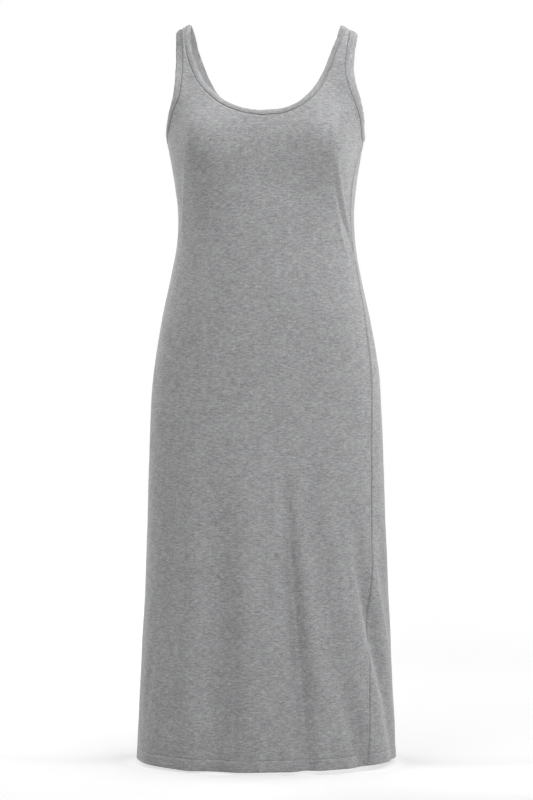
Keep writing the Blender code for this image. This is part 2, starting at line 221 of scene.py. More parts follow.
armholeFrontLeft = seamLine(
    (-0.1870, 180.0), (-0.1840, 173.0), (-0.1730, 165.5), (-0.1545, 154.8), (-0.1340, 146.2),
    (-0.1140, 140.0), (-0.0925, 137.4), (-0.0720, 136.3), (-0.0420, 136.3), (-0.0180, 137.3),
    (0.0015, 138.3),
)
armholeBackRight = seamLine(
    (-0.1855, 368.0), (-0.1840, 359.0), (-0.1810, 351.0), (-0.1720, 342.5), (-0.1530, 333.2),
    (-0.1280, 323.4), (-0.1030, 317.7), (-0.0780, 314.6), (-0.0480, 314.4), (-0.0180, 316.8),
    (0.0015, 318.6),
)
armholeBackLeft = seamLine(
    (-0.1870, 180.0), (-0.1850, 187.0), (-0.1750, 196.0), (-0.1530, 207.0), (-0.1280, 216.6),
    (-0.1030, 222.3), (-0.0780, 225.4), (-0.0480, 225.6), (-0.0180, 223.2), (0.0015, 221.7),
)


# A smooth curve through the values at rising stations: between two of them it is the first value
# times (1 + 2t)(1 - t)^2, the next times t^2 (3 - 2t), and their slopes.
def smooth(stations, values, at):
    slopes = np.gradient(values, stations)
    below = np.clip(np.searchsorted(stations, at) - 1, 0, len(stations) - 2)
    span = stations[below + 1] - stations[below]
    t = np.clip((at - stations[below]) / span, 0.0, 1.0)
    return (
        values[below] * (1 + 2 * t) * (1 - t) ** 2
        + values[below + 1] * t * t * (3 - 2 * t)
        + span * (slopes[below] * t * (1 - t) ** 2 - slopes[below + 1] * t * t * (1 - t))
    )


# 0 before the start and 1 after the end, with t^2 (3 - 2t) between.
def ramp(value, start, end):
    t = np.clip((value - start) / (end - start), 0.0, 1.0)
    return t * t * (3 - 2 * t)


# How far a turn is from another, the short way round.
def turnFrom(turn, start):
    return (turn - start + 180.0) % 360.0 - 180.0


def unit(vectors):
    return vectors / np.linalg.norm(vectors, axis=-1, keepdims=True)


def squareTo(along, vectors):
    return unit(vectors - along * np.sum(vectors * along, axis=-1, keepdims=True))


# How far along a line each of its points is.
def travelledAlong(line):
    return np.concatenate([[0.0], np.linalg.norm(np.diff(line, axis=0), axis=1).cumsum()])


# Long folds: a trough exp(-q) with half-height shoulders exp(-q/4), q = (distance / half width)^2,
# widening and deepening down the skirt.
def foldRelief(turn, level, radius):
    relief = np.zeros_like(level)
    for startTurn, endTurn, bend, startLevel, fullLevel, depth, halfWidth in zip(*folds.values()):
        down = np.clip((startLevel - level) / (startLevel - rings["level"][0]), 0.0, 1.0)
        middle = startTurn + (endTurn - startTurn) * down**bend
        grown = ramp(level, startLevel, fullLevel)
        across = np.radians(turnFrom(turn, middle)) * radius
        width = halfWidth * (foldStartWidth + (1 - foldStartWidth) * grown)
        q = (across / width) ** 2
        relief += depth * grown * (foldShoulders * np.exp(-q / 4.0) - np.exp(-q))
    return relief


creaseTaper = 1.5  # how far its ends die away


# Creases: height * exp(-(offset / width)^2) * sin(pi s)^taper with s from one end to the other,
# and the offset measured from a line bowed by 4 s (1 - s).
def creaseRelief(turn, level, radius):
    relief = np.zeros_like(level)
    for turn0, level0, turn1, level1, bow, height, width0, width1 in zip(*creases.values()):
        x = np.radians(turnFrom(turn, turn0)) * radius
        y = level - level0
        endX = np.radians(turnFrom(turn1, turn0)) * radius
        endY = level1 - level0
        length = np.hypot(endX, endY)
        s = (x * endX + y * endY) / length**2
        inside = np.clip(s, 0.0, 1.0)
        offset = (x * endY - y * endX) / length - bow * 4 * inside * (1 - inside)
        width = width0 + (width1 - width0) * inside
        fading = np.sin(np.pi * inside) ** creaseTaper
        relief += height * np.exp(-((offset / width) ** 2)) * fading
    return relief


# Small unevenness: a sum of waves, each a whole number of times round the figure and lower the
# finer it is.
unevenness = dict(
    seed=7,
    count=46,
    rounds=(6, 34),
    rises=(8.0, 95.0),
    radius=0.16,  # turns a rise into rounds
    fullRounds=14.0,  # a wave this coarse has the full height
    height=0.00030,
)
waves = np.random.default_rng(unevenness["seed"])
waveRounds = waves.integers(*unevenness["rounds"], unevenness["count"])
waveRises = waves.uniform(*unevenness["rises"], unevenness["count"])
waveRises *= waves.choice([-1.0, 1.0], unevenness["count"])
wavePhases = waves.uniform(0.0, 2 * np.pi, unevenness["count"])


def unevenRelief(turn, level):
    relief = np.zeros_like(level)
    for rounds, rise, phase in zip(waveRounds, waveRises, wavePhases):
        fineness = np.hypot(rounds, rise * unevenness["radius"]) / unevenness["fullRounds"]
        relief += np.sin(np.radians(turn) * rounds + level * rise + phase) / fineness
    return relief * unevenness["height"] * np.sqrt(2.0 / unevenness["count"])


# Where the outside of the cloth is, at a turn round the figure and a level: on the rounded ring
# |x / half width|^n + |y / depth|^n = 1 of that level, moved forward at the bust and the straps,
# drawn back to the shoulders, moved out by the folds and lowered along the shoulder line.
def clothPoint(turn, level, creased=False):
    turn, level = np.broadcast_arrays(np.asarray(turn, float), np.asarray(level, float))
    c = np.cos(np.radians(turn))
    s = np.sin(np.radians(turn))
    halfWidth = smooth(rings["level"], rings["halfWidth"], level)
    front = smooth(rings["level"], rings["front"], level)
    back = smooth(rings["level"], rings["back"], level)
    depth = np.where(s >= 0, front, back)
    x = halfWidth * np.sign(c) * np.abs(c) ** (2 / roundness)
    y = -depth * np.sign(s) * np.abs(s) ** (2 / roundness)

    beside = np.abs(x) - bust["reach"]
    spread = (beside / np.where(beside > 0, bust["outer"], bust["inner"])) ** 2
    spread = spread + ((level - bust["level"]) / bust["height"]) ** 2
    y = y - bust["rise"] * np.exp(-spread) * ramp(s, *bust["front"])

    beside = np.abs(x) - strapLie["reach"]
    width = np.where(beside > 0, strapLie["outer"], strapLie["inner"])
    lie = np.where(x > 0, *strapLie["turn"]) * ramp(level, *strapLie["levels"])
    lie = lie * ramp(s, *strapLie["front"])
    y = y - lie * width * np.tanh(beside / width)

    risen = np.clip((level - rings["level"][-1] + shoulderDrop) / shoulderDrop, 0.0, 1.0)
    power = np.where(s >= 0, *shoulderPower)
    y = y * (1 - risen**power) ** (1 / power)

    radius = np.hypot(halfWidth * s, depth * c)
    outward = np.stack([c / halfWidth, -s / depth])
    outward /= np.hypot(*outward)
    relief = foldRelief(turn, level, radius)
    if creased:
        relief = relief + creaseRelief(turn, level, radius) + unevenRelief(turn, level)
    x = x + outward[0] * relief + smooth(rings["level"], rings["shift"], level)
    y = y + outward[1] * relief
    fallRight = smooth(shoulder["reach"], shoulder["right"], np.abs(x))
    fallLeft = smooth(shoulder["reach"], shoulder["left"], np.abs(x))
    z = level - np.where(x > 0, fallRight, fallLeft) * ramp(level, *fallLevels)
    return np.stack([x, y, z], axis=-1)


# The steps that feel out the cloth's slope, and the core that it faces away from.
feeler = dict(turn=0.2, level=0.0005, coreShares=(0.6, 0.0, 1.0), coreDrop=(0.0, 0.0, 0.08))


def sidewaysAt(turn, level, step, creased):
    return clothPoint(turn + step, level, creased) - clothPoint(turn - step, level, creased)


# The way straight out of the cloth: square to a short step sideways and one down.
def outwardAt(turn, level, creased=False):
    points = clothPoint(turn, level, creased)
    downwards = clothPoint(turn, level - feeler["level"], creased) - points
    up = unit(np.cross(sidewaysAt(turn, level, feeler["turn"], creased), downwards))
    core = points * feeler["coreShares"] - feeler["coreDrop"]
    return up * np.sign(np.sum(up * (points - core), axis=-1, keepdims=True))


# (turn, level) at steps up a seam line: the share still to go is (share of steps)^closing, so a
# closing over 1 brings the steps together at the shoulder.
def lineAlong(seam, count, closing):
    travelled = travelledAlong(clothPoint(seam["turn"], seam["level"]))
    places = travelled[-1] * (1 - np.linspace(1.0, 0.0, count) ** closing)
    return smooth(travelled, seam["turn"], places), smooth(travelled, seam["level"], places)


# How far each point is from a line of points, and how far along it its nearest place is. Points
# well away from the line are left at that.
def distanceTo(points, line, wellAway=0.03, coarseStep=12, batch=2000):
    travelled = travelledAlong(line)
    longest = np.diff(travelled).max()
    tangents = unit(np.gradient(line, axis=0))
    distance = np.ones(len(points))
    along = np.zeros(len(points))
    roughly = np.ones(len(points))
    for place in line[::coarseStep]:
        roughly = np.minimum(roughly, np.sum((points - place) ** 2, axis=-1))
    near = np.flatnonzero(roughly < wellAway**2)
    for part in np.array_split(near, 1 + len(near) // batch):
        apart = np.sum((points[part, None] - line[None]) ** 2, axis=-1)
        nearest = apart.argmin(axis=1)
        across = points[part] - line[nearest]
        forward = np.sum(across * tangents[nearest], axis=-1)
        forward = np.clip(forward, -longest, longest)
        across = across - forward[:, None] * tangents[nearest]
        distance[part] = np.linalg.norm(across, axis=-1)
        along[part] = travelled[nearest] + forward
    return distance, along


# The panels' cloth, its hem and how finely it is divided.
cloth = dict(
    thickness=0.0010,
    insidePaintedLight=0.66,  # painted light: how much paler the inside faces are painted, in place of the light that reaches them
    hemThickness=0.0021,
    hemHeight=0.0175,  # from the lower edge to the hem's stitching
    hemThinning=0.002,  # height over which the doubled cloth ends inside
    hemRounding=0.0012,
    hemUndercut=0.96,  # 1 rounds the lower edge right under
    hemStep=0.0004,  # how far the doubled cloth stands proud
    hemStepHeight=0.003,
    hemGroove=0.0007,
    hemGrooveWidth=0.0013,
    hemPaintedShade=0.02,  # painted shade: how much darker the cloth is painted just over the stitched groove
    hemPaintedShadeOver=0.0005,
    hemPaintedShadeWidth=0.0011,
    columns=150,
    bodyRows=176,
    lowRows=(6, 0.6),  # the first rows over the hem, and how close they start
    chestRows=(14, 0.3),  # the last rows under the armholes, and how close they end
    strapRows=84,
    evenedRows=14.0,  # rows over which a strap's columns get evenly spaced
    seamClosing=1.35,  # how columns crowd to the side seams
    shoulderClosing=1.2,  # and strap rows to the shoulders
    rowSag=1.2,
    seamTurn=0.02,
    shoulderGap=0.0003,  # how far each panel stops short of the other at the shoulder
    gapLevels=(-0.04, 0.0),
)
# Heights of the hem's rows in millimetres, close together at its edge and its stitching.
hemRows = np.array((
    0.0, 0.25, 0.6, 1.1, 1.8, 3.2, 5.5, 8.5, 11.5, 14.0, 15.5, 16.4, 17.0, 17.5, 18.0, 18.6, 19.5,
    21.5,
)) / 1000.0

# Painted light and shade: soft patches painted paler at the sides of the bust, where the light
# falls on them, and one painted darker beside the right seam low on the skirt, in the shade of a
# fold.
paintedLightPatches = table(
    "turn   level   paler  across  up",
    (27.0,  -0.214, 0.26,  0.022,  0.052),
    (8.0,   -0.240, 0.25,  0.014,  0.060),
    (11.0,  -0.840, -0.14, 0.016,  0.070),
    (145.0, -0.258, 0.20,  0.025,  0.042),
)
paintedPatchRadius = 0.13  # turns a turn into a distance

# How each seam lies, the waves of its puckers in radians per metre along it, and how much painted
# shade darkens its ditch.
neckSeam = dict(
    depth=0.0011, width=0.0015, lip=0.00025, pucker=0.00016, reach=0.007, phase=0.4, paintedShade=0.04
)
armholeSeam = dict(
    depth=0.0013, width=0.0016, lip=0.00025, pucker=0.00022, reach=0.008, phase=1.3, paintedShade=0.26
)
sideSeam = dict(
    depth=0.0012, width=0.0017, lip=0.00040, pucker=0.00014, reach=0.009, phase=2.1, paintedShade=0.28
)
shoulderSeam = dict(
    depth=0.0008, width=0.0014, lip=0.00010, pucker=0.00005, reach=0.004, phase=0.0, paintedShade=0.0
)
puckers = dict(rise=560.0, bend=1.7, bendRise=97.0, least=0.55, ebb=0.45, ebbRise=61.0)
lipPlace = 2.3  # where a seam's lip stands, in widths from it
seamPaintedShade = dict(width=0.0011, levels=(-0.95, -0.86), low=0.35)  # painted shade in the seams' ditches, fainter down by the hem
seamSteps = dict(seam=420, side=900, shoulder=60, underHem=0.004)


# A seam: the dip exp(-(distance / width)^2) where it is sewn, a small lip of the same kind beside
# it, and puckers along it that die away as exp(-distance / reach).
def seamRelief(distance, along, seam, phase):
    dip = np.exp(-((distance / seam["width"]) ** 2))
    lip = np.exp(-(((distance - lipPlace * seam["width"]) / seam["width"]) ** 2))
    bend = puckers["bend"] * np.sin(along * puckers["bendRise"] + phase)
    ripple = np.sin(along * puckers["rise"] + bend + phase)
    ebb = puckers["least"] + puckers["ebb"] * np.sin(along * puckers["ebbRise"] + 2 * phase)
    near = np.exp(-distance / seam["reach"]) * (1 - dip)
    return seam["lip"] * lip + seam["pucker"] * ripple * ebb * near - seam["depth"] * dip


# How the hem stands: doubled cloth a little proud, a groove where it is stitched and its lower
# edge rounded under.
def hemRelief(height):
    top = cloth["hemHeight"] + cloth["hemStepHeight"]
    step = cloth["hemStep"] * (1 - ramp(height, cloth["hemHeight"], top))
    groove = np.exp(-(((height - cloth["hemHeight"]) / cloth["hemGrooveWidth"]) ** 2))
    below = np.clip(1 - height / cloth["hemRounding"], 0.0, 1.0)
    under = cloth["hemRounding"] * (1 - np.sqrt(1 - below**2 * cloth["hemUndercut"]))
    return step - cloth["hemGroove"] * groove - under


# Soft patches of painted light and shade: paler * exp(-(beside / across)^2 - (over / up)^2).
def paintedPatchTone(turn, level):
    tone = np.zeros_like(level)
    for middle, height, paler, across, up in zip(*paintedLightPatches.values()):
        beside = np.radians(turnFrom(turn, middle)) * paintedPatchRadius
        tone += paler * np.exp(-((beside / across) ** 2) - ((level - height) / up) ** 2)
    return tone


# (turn, level, height over the hem line) from the hem to the chest, for half a panel: the hem's
# own rows, then rows up to the armhole and the neck, between the side seam and the middle.
def bodyHalf(side, middle, armhole, neck, columns):
    lowRows, lowSpacing = cloth["lowRows"]
    chestRows, chestSpacing = cloth["chestRows"]
    spacing = np.ones(cloth["bodyRows"])
    spacing[-chestRows:] = np.linspace(1.0, chestSpacing, chestRows)
    spacing[:lowRows] = np.linspace(lowSpacing, 1.0, lowRows)
    up = np.concatenate([[0.0], spacing.cumsum() / spacing.sum()])[1:]
    across = np.linspace(0.0, 1.0, columns + 1) ** cloth["seamClosing"]
    seam = sideSeams[side] + (360.0 if middle > 180.0 and side == "right" else 0.0)
    low = smooth(hemLine["turn"], hemLine["level"], seam[0] + (middle - seam[0]) * across)
    rise = neck["level"][0] - armhole["level"][0]
    top = armhole["level"][0] + rise * across ** (1 + cloth["rowSag"])
    start = low + hemRows[-1]
    level = np.concatenate([low + hemRows[:, None], start + (top - start) * up[:, None]])
    edge = smooth(sideSeams["level"], seam, level)
    edge[-1] = armhole["turn"][0]
    edge = edge + np.sign(middle - edge) * cloth["seamTurn"]
    return edge + (middle - edge) * across, level, level - low


# (turn, level) straight across between an armhole seam and a neck seam, the lowest row first and
# sagging like the chest's top row.
def strapGrid(armhole, neck, columns):
    rows = cloth["strapRows"] + 1
    armholeTurn, armholeLevel = lineAlong(armhole, rows, cloth["shoulderClosing"])
    neckTurn, neckLevel = lineAlong(neck, rows, cloth["shoulderClosing"])
    even = np.linspace(0.0, 1.0, columns + 1)
    closing = (even + (1 - np.cos(np.pi * even)) / 2) / 2
    risen = ramp(np.arange(rows), 0.0, cloth["evenedRows"])[:, None]
    across = (1 - risen) * even ** cloth["seamClosing"] + risen * closing
    sag = 1.0 + cloth["rowSag"] * np.linspace(1.0, 0.0, rows)[:, None] ** 3
    turn = armholeTurn[:, None] + (neckTurn - armholeTurn)[:, None] * across
    level = armholeLevel[:, None] + (neckLevel - armholeLevel)[:, None] * across**sag
    return turn, level


# The quads of a grid of point numbers.
def gridFaces(index):
    corners = (index[:-1, :-1], index[1:, :-1], index[1:, 1:], index[:-1, 1:])
    return np.stack(corners, axis=-1).reshape(-1, 4)


# The way out at each point: the sum of its quads' diagonals crossed.
def pointNormals(points, faces):
    corners = points[faces]
    across = np.cross(corners[:, 2] - corners[:, 0], corners[:, 3] - corners[:, 1])
    normals = np.zeros_like(points)
    for corner in range(4):
        np.add.at(normals, faces[:, corner], across)
    return unit(normals)


# Lengths on the cloth: u round it from the panel's middle and v up it, added up on a lattice of
# turns and levels and read between them.
lattice = dict(turns=161, levels=241, besideTurn=1.0, under=0.001, top=0.002, lastShare=1.001)


def clothLengths(turn, level, middle):
    beside = lattice["besideTurn"]
    turns = np.linspace(turn.min() - beside, turn.max() + beside, lattice["turns"])
    levels = np.linspace(level.min() - lattice["under"], lattice["top"], lattice["levels"])
    places = clothPoint(turns[:, None], levels[None, :])
    roundSteps = np.linalg.norm(np.diff(places, axis=0), axis=-1)
    upSteps = np.linalg.norm(np.diff(places, axis=1), axis=-1)
    u = np.concatenate([np.zeros((1, len(levels))), roundSteps.cumsum(axis=0)])
    v = np.concatenate([np.zeros((len(turns), 1)), upSteps.cumsum(axis=1)], axis=1)
    u = u - u[np.abs(turns - middle).argmin()]
    last = lattice["lastShare"]
    a = np.clip((turn - turns[0]) / (turns[1] - turns[0]), 0, len(turns) - last)
    b = np.clip((level - levels[0]) / (levels[1] - levels[0]), 0, len(levels) - last)
    i, j = a.astype(int), b.astype(int)
    a, b = a - i, b - j
    read = [
        grid[i, j] * (1 - a) * (1 - b) + grid[i + 1, j] * a * (1 - b)
        + grid[i, j + 1] * (1 - a) * b + grid[i + 1, j + 1] * a * b
        for grid in (u, v)
    ]
    return np.stack(read, axis=-1)


def placed(name, data):
    made = bpy.data.objects.new(name, data)
    bpy.context.scene.collection.objects.link(made)
    return made


# tone says how much paler each point is painted, carrying painted light and shade, and uv its
# lengths on the cloth.
def makeObject(name, points, faces, uv, material, tone):
    mesh = bpy.data.meshes.new(name)
    mesh.from_pydata(points.tolist(), [], faces.tolist())
    mesh.attributes.new("tone", "FLOAT", "POINT").data.foreach_set("value", tone)
    mesh.uv_layers.new(name="clothLengths").data.foreach_set("uv", uv.ravel())
    mesh.shade_smooth()
    mesh.materials.append(material)
    mesh.update()
    return placed(name, mesh)


# A sheet made into a wall: its inside is a layer in from its outside, and the rim joins the two.
def makeWall(name, outside, faces, thickness, uv, tone, material):
    inside = outside - pointNormals(outside, faces) * thickness[:, None]
    count = len(outside)
    edges = np.concatenate([faces[:, [i, (i + 1) % 4]] for i in range(4)])
    ends = np.sort(edges, axis=1)
    _, first, uses = np.unique(ends, axis=0, return_index=True, return_counts=True)
    rim = edges[first[uses == 1]]
    rim = np.stack([rim[:, 1], rim[:, 0], rim[:, 0] + count, rim[:, 1] + count], axis=-1)
    every = np.concatenate([faces, faces[:, ::-1] + count, rim])
    uv = np.concatenate([uv, uv])[every].reshape(-1, 2)
    # The inside faces are painted paler, as painted light.
    tone = np.concatenate([tone, np.full(count, cloth["insidePaintedLight"])])
    return makeObject(name, np.concatenate([outside, inside]), every, uv, material, tone)


def seamPoints(seam):
    turn, level = lineAlong(seam, seamSteps["seam"], 1.0)
    return clothPoint(turn, level)


def sideSeamPoints(side):
    low, high = sideSeams["level"][0] - seamSteps["underHem"], sideSeams["level"][-1]
    level = np.linspace(low, high, seamSteps["side"])
    return clothPoint(smooth(sideSeams["level"], sideSeams[side], level), level)


def shoulderPoints(armhole, neck):
    turn = np.linspace(armhole["turn"][-1], neck["turn"][-1], seamSteps["shoulder"])
    return clothPoint(turn, rings["level"][-1])


# A front or back panel: a grid of turns and levels, moved out by the relief of its seams and hem.
# first and last hold the side, armhole and neck lines of its two edges.
def makePanel(name, first, last, middle, forward, material):
    half = cloth["columns"] // 2
    startHalf = bodyHalf(first[0], middle, first[1], first[2], half)
    endHalf = bodyHalf(last[0], middle, last[1], last[2], half)
    turn, level, height = (
        np.concatenate([start, end[:, -2::-1]], axis=1) for start, end in zip(startHalf, endHalf)
    )
    index = np.arange(turn.size).reshape(turn.shape)
    turns, levels, heights = [turn.ravel()], [level.ravel()], [height.ravel()]
    faces = [gridFaces(index)]
    used = turn.size
    top = index[-1]
    for lines, low, order in ((first, top[: half + 1], 1), (last, top[half:][::-1], -1)):
        strapTurn, strapLevel = strapGrid(lines[1], lines[2], half)
        rows = used + np.arange(strapTurn[1:].size).reshape(cloth["strapRows"], -1)
        used += rows.size
        faces.append(gridFaces(np.concatenate([low[None], rows])[:, ::order]))
        turns.append(strapTurn[1:].ravel())
        levels.append(strapLevel[1:].ravel())
        heights.append(np.ones(rows.size))
    turn, level, height = map(np.concatenate, (turns, levels, heights))
    faces = np.concatenate(faces)

    plain = clothPoint(turn, level)
    relief = hemRelief(height)
    # The tone starts with the painted light and shade patches.
    tone = paintedPatchTone(turn, level)
    for i, (side, armhole, neck) in enumerate((first, last)):
        for line, seam in (
            (seamPoints(neck), neckSeam),
            (seamPoints(armhole), armholeSeam),
            (sideSeamPoints(side), sideSeam),
            (shoulderPoints(armhole, neck), shoulderSeam),
        ):
            distance, along = distanceTo(plain, line)
            relief += seamRelief(distance, along, seam, seam["phase"] + i)
            # Painted shade along each seam's ditch.
            share = seamPaintedShade["low"] + (1 - seamPaintedShade["low"]) * ramp(level, *seamPaintedShade["levels"])
            tone -= seam["paintedShade"] * share * np.exp(-((distance / seamPaintedShade["width"]) ** 2))
    outside = clothPoint(turn, level, creased=True)
    outside = outside + outwardAt(turn, level) * relief[:, None]
    outside[:, 1] += forward * cloth["shoulderGap"] * ramp(outside[:, 2], *cloth["gapLevels"])
    thin = ramp(height, cloth["hemHeight"], cloth["hemHeight"] + cloth["hemThinning"])
    thickness = cloth["hemThickness"] + (cloth["thickness"] - cloth["hemThickness"]) * thin
    uv = clothLengths(turn, level, middle)
    # Painted shade just over the hem's groove.
    hemLineAt = (height - cloth["hemHeight"] - cloth["hemPaintedShadeOver"]) / cloth["hemPaintedShadeWidth"]
    tone -= cloth["hemPaintedShade"] * np.exp(-(hemLineAt**2))
    return makeWall(name, outside, faces, thickness, uv, tone, material)


# Section of the folded strip: share of its width from the seam, and height over its inner face.
# The first rows are its outer face as far as its top.
bindingSection = np.array((
    (0.000, 0.00010), (0.004, 0.00075), (0.020, 0.00140), (0.050, 0.00195), (0.095, 0.00240),
    (0.150, 0.00266), (0.205, 0.00264), (0.240, 0.00242), (0.275, 0.00264), (0.340, 0.00290),
    (0.450, 0.00302), (0.570, 0.00302), (0.690, 0.00290), (0.790, 0.00268), (0.870, 0.00236),
    (0.935, 0.00190), (0.980, 0.00130), (1.000, 0.00070), (0.985, 0.00030), (0.940, 0.00004),
    (0.800, 0.00000), (0.550, 0.00000), (0.300, 0.00000), (0.100, 0.00000),
))
outerRows = 12
stitchShare = 0.24  # where the strip is topstitched, as a share of its width
wallUnder = 0.0019  # how far its inner face lies under the cloth's outside
# A strip's rolls are how many degrees it leans in low down, on the straps, at their tops and on
# the left strap's front.
neckStrip = dict(
    width=0.0100,
    roll=14.0,
    strapRoll=38.0,
    topRoll=8.0,
    leftFrontRoll=-4.0,
    stations=560,
    gap=-0.0003,  # under 0 it lies under the panel's edge
    paler=(0.0, -0.04),  # painted light and shade, low down and at the shoulder
)
armholeStrip = dict(
    width=0.0138,
    roll=4.0,
    strapRoll=4.0,
    topRoll=4.0,
    leftFrontRoll=4.0,
    stations=380,
    gap=-0.0003,
    paler=(0.16, -0.08),
)
leftArmholeStrip = dict(armholeStrip, width=0.0102, paler=(0.20, -0.28))
stripLevels = dict(
    strap=(-0.12, -0.06),
    top=(-0.022, -0.004),
    leftFrontStart=(-0.100, -0.054),
    leftFrontEnd=(-0.018, -0.004),
    paler=(-0.09, -0.02),
)
# Painted shade on a strip: how much darker it is painted along its stitches, in the ditch of its
# seam and, on the left strap's front, by its free edge. Shares are of its width, heights are over
# its inner face.
stripPaintedShades = dict(
    stitches=0.14,
    stitchesWidth=0.03,
    stitchesOver=0.002,
    ditch=0.30,
    ditchShares=(0.02, 0.06),
    ditchUnder=0.0015,
    edge=0.30,
    edgeShares=(0.80, 0.92),
    innerUnder=0.0001,
)
seamSmoothing = dict(steps=200, passes=3)


def onLeftFrontStrap(points):
    level = points[:, 2:]
    risen = ramp(level, *stripLevels["leftFrontStart"])
    risen = risen * (1 - ramp(level, *stripLevels["leftFrontEnd"]))
    return risen * (points[:, :1] < 0) * (points[:, 1:2] < 0)


# Columns of values read between their stations.
def readAt(places, stations, values, **period):
    columns = [np.interp(places, stations, column, **period) for column in values.T]
    return np.stack(columns, axis=-1)


# Each value and its two neighbours, one, two and one parts.
def evened(values):
    return (np.roll(values, 1, axis=0) + 2 * values + np.roll(values, -1, axis=0)) / 4


# Feet of a strip's sections round its closed seam, and the ways along, out and up. The strip leans
# in about its foot by its roll.
def stripPlaces(branches, strip):
    points, up = [], []
    for seam, upwards in branches:
        order = slice(0, -1) if upwards else slice(-1, 0, -1)
        turn, level = lineAlong(seam, seamSmoothing["steps"], 1.0)
        points.append(clothPoint(turn, level)[order])
        up.append(outwardAt(turn, level)[order])
    loop, loopUp = (np.concatenate(parts + [parts[0][:1]]) for parts in (points, up))
    travelled = travelledAlong(loop)
    places = np.linspace(0.0, travelled[-1], strip["stations"] + 1)[:-1]
    points, up = readAt(places, travelled, loop), readAt(places, travelled, loopUp)
    for _ in range(seamSmoothing["passes"]):
        points, up = evened(points), evened(up)
    along = unit(np.roll(points, -1, axis=0) - np.roll(points, 1, axis=0))
    out = unit(np.cross(along, up))
    out *= np.sign(np.sum(out * (points.mean(axis=0) - points)))
    up = squareTo(along, up)
    onStrap = ramp(points[:, 2:], *stripLevels["strap"])
    lean = strip["roll"] + (strip["strapRoll"] - strip["roll"]) * onStrap
    lean = lean + (strip["topRoll"] - lean) * ramp(points[:, 2:], *stripLevels["top"])
    lean = np.radians(lean + (strip["leftFrontRoll"] - lean) * onLeftFrontStrap(points))
    stripOut = out * np.cos(lean) - up * np.sin(lean)
    stripUp = up * np.cos(lean) + out * np.sin(lean)
    foot = points + out * strip["gap"] - up * wallUnder
    return foot, along, stripOut, stripUp, places, travelled[-1]


# Waves round a strip: its crown swells and its free edge wanders.
swells = table(
    "height   often  shift  bend  bendOften",
    (0.00010, 61,    1,     1.5,  9),
    (0.00012, 23,    2,     0.0,  0),
)
wanders = table(
    "height   often  shift  bend  bendOften",
    (0.00022, 13,    1,     0.0,  0),
    (0.00012, 37,    3,     0.0,  0),
)
crownShare = 1 / 3  # the crown swells fully from here on


# The sum of height * sin(often * r + bend * sin(bendOften * r + phase) + shift * phase), where r
# goes once round.
def wavesRound(waves, rounds, phase):
    total = np.zeros_like(rounds)
    for height, often, shift, bend, bendOften in zip(*waves.values()):
        bent = bend * np.sin(rounds * bendOften + phase)
        total += height * np.sin(rounds * often + bent + shift * phase)
    return total


# A strip: its section carried round its seam, swollen and wandering by its waves.
def makeBinding(name, branches, strip, phase, material):
    foot, along, stripOut, stripUp, places, length = stripPlaces(branches, strip)
    share, height = bindingSection.T
    rounds = 2 * np.pi * places / length
    swell, wander = wavesRound(swells, rounds, phase), wavesRound(wanders, rounds, phase)
    crown = np.clip(height / height.max(), 0.0, 1.0)
    reach = share * strip["width"] + wander[:, None] * share**2
    rise = height + swell[:, None] * crown * np.clip(share / crownShare, 0.0, 1.0)
    points = foot[:, None] + stripOut[:, None] * reach[..., None]
    points = points + stripUp[:, None] * rise[..., None]
    count, sides = points.shape[:2]
    index = np.arange(count * sides).reshape(count, sides)
    wrapped = np.concatenate([index, index[:1]])
    wrapped = np.concatenate([wrapped, wrapped[:, :1]], axis=1)
    faces = gridFaces(wrapped)
    steps = np.linalg.norm(np.diff(points, axis=1, append=points[:, :1]), axis=-1)
    around = np.concatenate([[0.0], steps.mean(axis=0).cumsum()])
    alongLengths = np.append(places, length)
    grid = np.stack(np.meshgrid(alongLengths, around, indexing="ij"), axis=-1) + phase
    corners = (grid[:-1, :-1], grid[1:, :-1], grid[1:, 1:], grid[:-1, 1:])
    uv = np.stack(corners, axis=-2).reshape(-1, 4, 2)
    middle = points.mean(axis=1)[:, None]
    facing = np.cross(np.roll(points, -1, axis=0) - points, np.roll(points, -1, axis=1) - points)
    if np.sum(facing * (points - middle)) < 0:
        faces, uv = faces[:, ::-1], uv[:, ::-1]
    # The strip's inner face is painted paler, as painted light.
    inner = np.where(height < stripPaintedShades["innerUnder"], cloth["insidePaintedLight"], 0.0)
    # Painted shade along the stitches, in the seam's ditch and by the left strap's free edge.
    stitched = np.exp(-(((share - stitchShare) / stripPaintedShades["stitchesWidth"]) ** 2))
    stitched = stripPaintedShades["stitches"] * stitched * (height > stripPaintedShades["stitchesOver"])
    ditch = (1 - ramp(share, *stripPaintedShades["ditchShares"])) * (height < stripPaintedShades["ditchUnder"])
    edge = ramp(share, *stripPaintedShades["edgeShares"]) * onLeftFrontStrap(foot)
    # Painted light low on the armhole strips, and painted shade towards the shoulders.
    lowPaler, highPaler = strip["paler"]
    paler = lowPaler + (highPaler - lowPaler) * ramp(foot[:, 2:], *stripLevels["paler"])
    tone = inner - stitched - stripPaintedShades["ditch"] * ditch - stripPaintedShades["edge"] * edge + paler
    return makeObject(name, points.reshape(-1, 3), faces, uv.reshape(-1, 2), material, tone.ravel())


stitch = dict(
    pitch=0.0027,
    length=0.0021,
    radius=0.00023,
    arch=0.00022,
    sides=6,
    rings=4,
    taper=0.85,  # 1 would close its ends
    sunk=0.00002,  # how far a hem stitch lies in its groove
)


